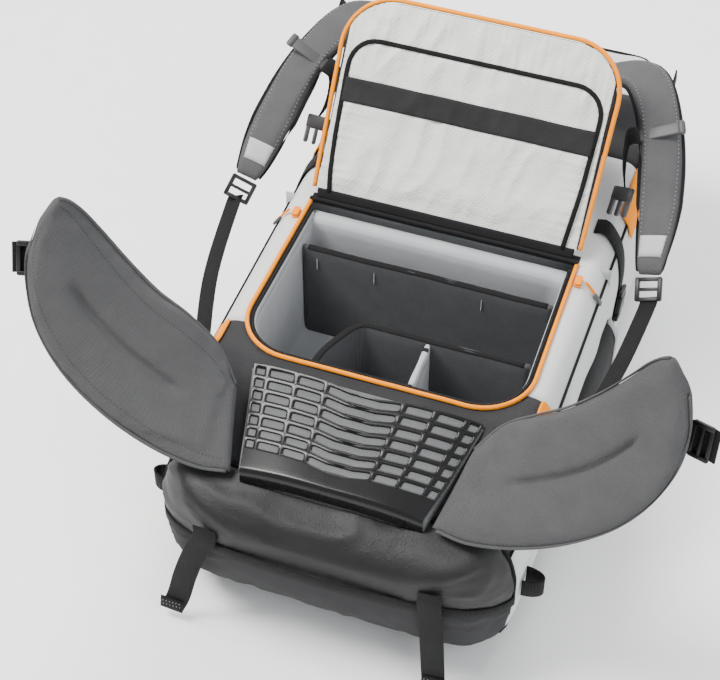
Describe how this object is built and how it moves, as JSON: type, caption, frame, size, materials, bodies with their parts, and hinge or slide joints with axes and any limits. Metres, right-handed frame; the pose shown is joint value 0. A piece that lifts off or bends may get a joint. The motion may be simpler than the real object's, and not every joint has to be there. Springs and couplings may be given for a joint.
{
  "type": "hiking camera backpack",
  "caption": "Large back-opening photo backpack lying on its front, with its hinged back lid open over a padded insert with dividers, hip belt wings, harness, hood and base straps.",
  "frame": {"origin": "on the floor under the middle of the front panel, below the lid hinge's side of the opening", "axes": "+Z out of the wearer's back face, +Y towards the top of the pack, +X to the right looking along +Y"},
  "size_m": [0.683, 0.7593, 0.4511],
  "materials": {
    "cordura_black": "coarse woven nylon, dull",
    "cordura_grey": "coarse woven nylon, dull",
    "shell_light": "light grey ripstop",
    "tarpaulin": "coated fabric with a low sheen and fine embossed dots",
    "liner_grey": "brushed tricot lining",
    "divider_cloth": "brushed loop fabric",
    "piping_orange": "orange woven piping",
    "accent_orange": "orange ripstop",
    "zip_black": "coil zip with coated tape",
    "binding_black": "ribbed grosgrain",
    "lining_white": "off-white ripstop lining",
    "foam_grey": "stretch knit over foam",
    "grip_rubber": "glossy moulded grip",
    "webbing_black": "flat nylon webbing",
    "buckle_plastic": "moulded acetal, satin",
    "frame_alloy": "bare tube",
    "stretch_grey": "stretch woven pocket"
  },
  "bodies": {
    "pack": {"front_panel": "cordura_grey", "side_panel_left": "shell_light", "side_panel_right": "shell_light", "back_panel": "shell_light", "base_boot": "tarpaulin", "base_panel": "cordura_grey", "compartment_wall": "liner_grey", "camera_insert": "liner_grey", "rim_zip_tape": "shell_light", "rim_zip_coil": "zip_black", "rim_piping": "piping_orange", "rim_hinge_tape": "binding_black", "frame_rods": "frame_alloy", "frame_crossbar": "frame_alloy", "lumbar_pad": "foam_grey", "lumbar_grip": "grip_rubber", "harness_yoke": "foam_grey", "lower_webbing": "webbing_black", "load_lifter_webbing": "webbing_black", "side_pocket_left": "stretch_grey", "side_pocket_right": "stretch_grey", "compression_straps": "webbing_black", "compression_buckles": "buckle_plastic", "side_accents": "accent_orange", "base_binding": "binding_black", "rim_tabs": "accent_orange", "axe_loops": "webbing_black"},
    "lid": {"lid_core": "foam_grey", "lid_piping": "piping_orange", "lid_lining": "lining_white", "lid_pocket_binding": "binding_black", "lid_elastic_band": "divider_cloth", "lid_hinge_tape": "liner_grey", "back_pad_left": "foam_grey", "back_pad_right": "foam_grey"},
    "wing_left": {"wing_pad_left": "foam_grey", "belt_webbing_left": "webbing_black", "belt_ladder_lock_left": "buckle_plastic"},
    "wing_right": {"wing_pad_right": "foam_grey", "belt_webbing_right": "webbing_black", "belt_ladder_lock_right": "buckle_plastic"},
    "strap_left": {"strap_pad_left": "foam_grey", "strap_ladder_lock_left": "buckle_plastic"},
    "strap_right": {"strap_pad_right": "foam_grey", "strap_ladder_lock_right": "buckle_plastic"},
    "sternum_left": {"sternum_strap_left": "webbing_black"},
    "sternum_right": {"sternum_strap_right": "webbing_black"},
    "hood": {"top_hood": "cordura_grey", "hood_zip": "zip_black"},
    "hood_slider": {"hood_zip_slider": "buckle_plastic"},
    "zip_slider_left": {"zip_slider_left": "buckle_plastic"},
    "zip_slider_right": {"zip_slider_right": "buckle_plastic"},
    "zip_pull_left": {"zip_pull_left": "accent_orange"},
    "zip_pull_right": {"zip_pull_right": "accent_orange"},
    "handle": {"haul_handle": "webbing_black"},
    "base_strap_left": {"base_strap_left": "webbing_black"},
    "base_strap_right": {"base_strap_right": "webbing_black"},
    "divider_long": {"divider_long": "divider_cloth"},
    "divider_hump": {"divider_hump": "divider_cloth"},
    "divider_short": {"divider_short": "liner_grey"}
  },
  "joints": [
    {"name": "lid_hinge", "type": "hinge", "parent": "pack", "child": "lid", "pos_m": [0, 0.035, 0.243], "axis": [-1, 0, 0], "range_deg": [-128.8, 6]},
    {"name": "wing_left_fold", "type": "hinge", "parent": "pack", "child": "wing_left", "pos_m": [-0.1026, -0.309, 0.199], "axis": [-0.1978, 0.7927, 0.5767], "range_deg": [-10, 30]},
    {"name": "wing_right_fold", "type": "hinge", "parent": "pack", "child": "wing_right", "pos_m": [0.1026, -0.309, 0.199], "axis": [-0.1978, -0.7927, -0.5767], "range_deg": [-10, 30]},
    {"name": "strap_left_swing", "type": "hinge", "parent": "pack", "child": "strap_left", "pos_m": [-0.067, 0.298, 0.253], "axis": [-1, 0, 0], "range_deg": [0, 35]},
    {"name": "strap_right_swing", "type": "hinge", "parent": "pack", "child": "strap_right", "pos_m": [0.067, 0.298, 0.253], "axis": [-1, 0, 0], "range_deg": [0, 35]},
    {"name": "sternum_left_slide", "type": "slide", "parent": "strap_left", "child": "sternum_left", "axis": [-0.34, -0.8568, -0.3876], "range_m": [0, 0.015]},
    {"name": "sternum_right_slide", "type": "slide", "parent": "strap_right", "child": "sternum_right", "axis": [0.34, -0.8568, -0.3876], "range_m": [0, 0.015]},
    {"name": "hood_hinge", "type": "hinge", "parent": "pack", "child": "hood", "pos_m": [0, 0.318, 0.2384], "axis": [1, 0, 0], "range_deg": [0, 85]},
    {"name": "hood_slider_slide", "type": "slide", "parent": "hood", "child": "hood_slider", "axis": [1, 0, 0], "range_m": [0, 0.16]},
    {"name": "zip_slider_left_slide", "type": "slide", "parent": "pack", "child": "zip_slider_left", "axis": [-0.0133, -0.9999, 0], "range_m": [0, 0.12]},
    {"name": "zip_slider_right_slide", "type": "slide", "parent": "pack", "child": "zip_slider_right", "axis": [0.0133, -0.9999, 0], "range_m": [0, 0.12]},
    {"name": "zip_pull_left_hinge", "type": "hinge", "parent": "zip_slider_left", "child": "zip_pull_left", "pos_m": [-0.1623, 0.01, 0.2432], "axis": [0, 1, 0], "range_deg": [0, 100]},
    {"name": "zip_pull_right_hinge", "type": "hinge", "parent": "zip_slider_right", "child": "zip_pull_right", "pos_m": [0.1623, 0.01, 0.2432], "axis": [0, -1, 0], "range_deg": [0, 100]},
    {"name": "handle_swing", "type": "hinge", "parent": "pack", "child": "handle", "pos_m": [0, 0.3105, 0.24], "axis": [1, 0, 0], "range_deg": [-35, 10]},
    {"name": "base_strap_left_swing", "type": "hinge", "parent": "pack", "child": "base_strap_left", "pos_m": [-0.115, -0.354, 0.154], "axis": [-1, 0, 0], "range_deg": [0, 60]},
    {"name": "base_strap_right_swing", "type": "hinge", "parent": "pack", "child": "base_strap_right", "pos_m": [0.115, -0.354, 0.154], "axis": [-1, 0, 0], "range_deg": [0, 60]},
    {"name": "divider_long_lift", "type": "slide", "parent": "pack", "child": "divider_long", "axis": [0, 0, 1], "range_m": [0, 0.12]},
    {"name": "divider_hump_lift", "type": "slide", "parent": "pack", "child": "divider_hump", "axis": [0, 0, 1], "range_m": [0, 0.12]},
    {"name": "divider_short_lift", "type": "slide", "parent": "pack", "child": "divider_short", "axis": [0, 0, 1], "range_m": [0, 0.12]}
  ]
}
